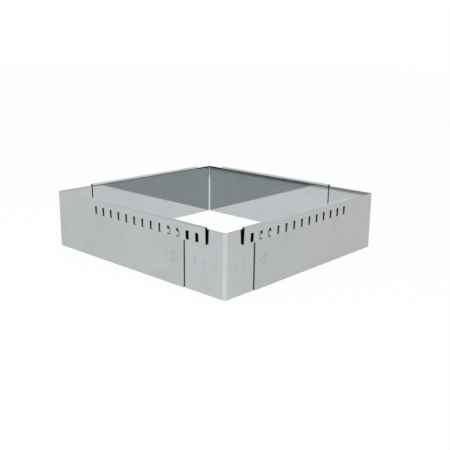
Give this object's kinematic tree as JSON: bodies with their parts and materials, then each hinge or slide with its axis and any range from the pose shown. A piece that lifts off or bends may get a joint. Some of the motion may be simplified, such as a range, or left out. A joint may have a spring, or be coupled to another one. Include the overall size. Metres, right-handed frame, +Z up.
{
  "type": "adjustable baking frame",
  "caption": "Open rectangular baking frame of bent stainless sheet; corner pieces slide in slotted folded rails and catch in steps to set width and depth.",
  "frame": {"origin": "middle of the frame as it is set in the picture, on the surface that its lower edges stand on", "axes": "+X to the right along the wider walls, +Y to the rear, +Z up"},
  "size_m": [0.2074, 0.1974, 0.0519],
  "materials": {
    "inner_corner_steel": "bright rolled stainless, near mirror",
    "outer_corner_steel": "bright rolled stainless, near mirror",
    "catch_steel": "bright pressed stainless"
  },
  "bodies": {
    "front_right": {"front_right_corner": "inner_corner_steel"},
    "front_left": {"front_left_corner": "outer_corner_steel", "front_catch_1": "catch_steel", "front_catch_2": "catch_steel", "left_catch_1": "catch_steel", "left_catch_2": "catch_steel"},
    "rear_right": {"rear_right_corner": "outer_corner_steel", "rear_catch_1": "catch_steel", "rear_catch_2": "catch_steel", "right_catch_1": "catch_steel", "right_catch_2": "catch_steel"},
    "rear_left": {"rear_left_corner": "inner_corner_steel"}
  },
  "joints": [
    {"name": "width_slide", "type": "slide", "parent": "front_right", "child": "front_left", "axis": [-1, 0, 0], "range_m": [-0.02, 0.09], "deforming": ["front_catch_1", "front_catch_2", "rear_catch_1", "rear_catch_2"]},
    {"name": "depth_slide", "type": "slide", "parent": "front_right", "child": "rear_right", "axis": [0, 1, 0], "range_m": [-0.01, 0.1], "deforming": ["right_catch_1", "right_catch_2", "left_catch_1", "left_catch_2"]},
    {"name": "left_wall_slide", "type": "slide", "parent": "front_left", "child": "rear_left", "axis": [0, 1, 0], "range_m": [-0.01, 0.1]}
  ],
  "couplings": [
    {"joint": "left_wall_slide", "follows": "depth_slide", "ratio": 1}
  ]
}
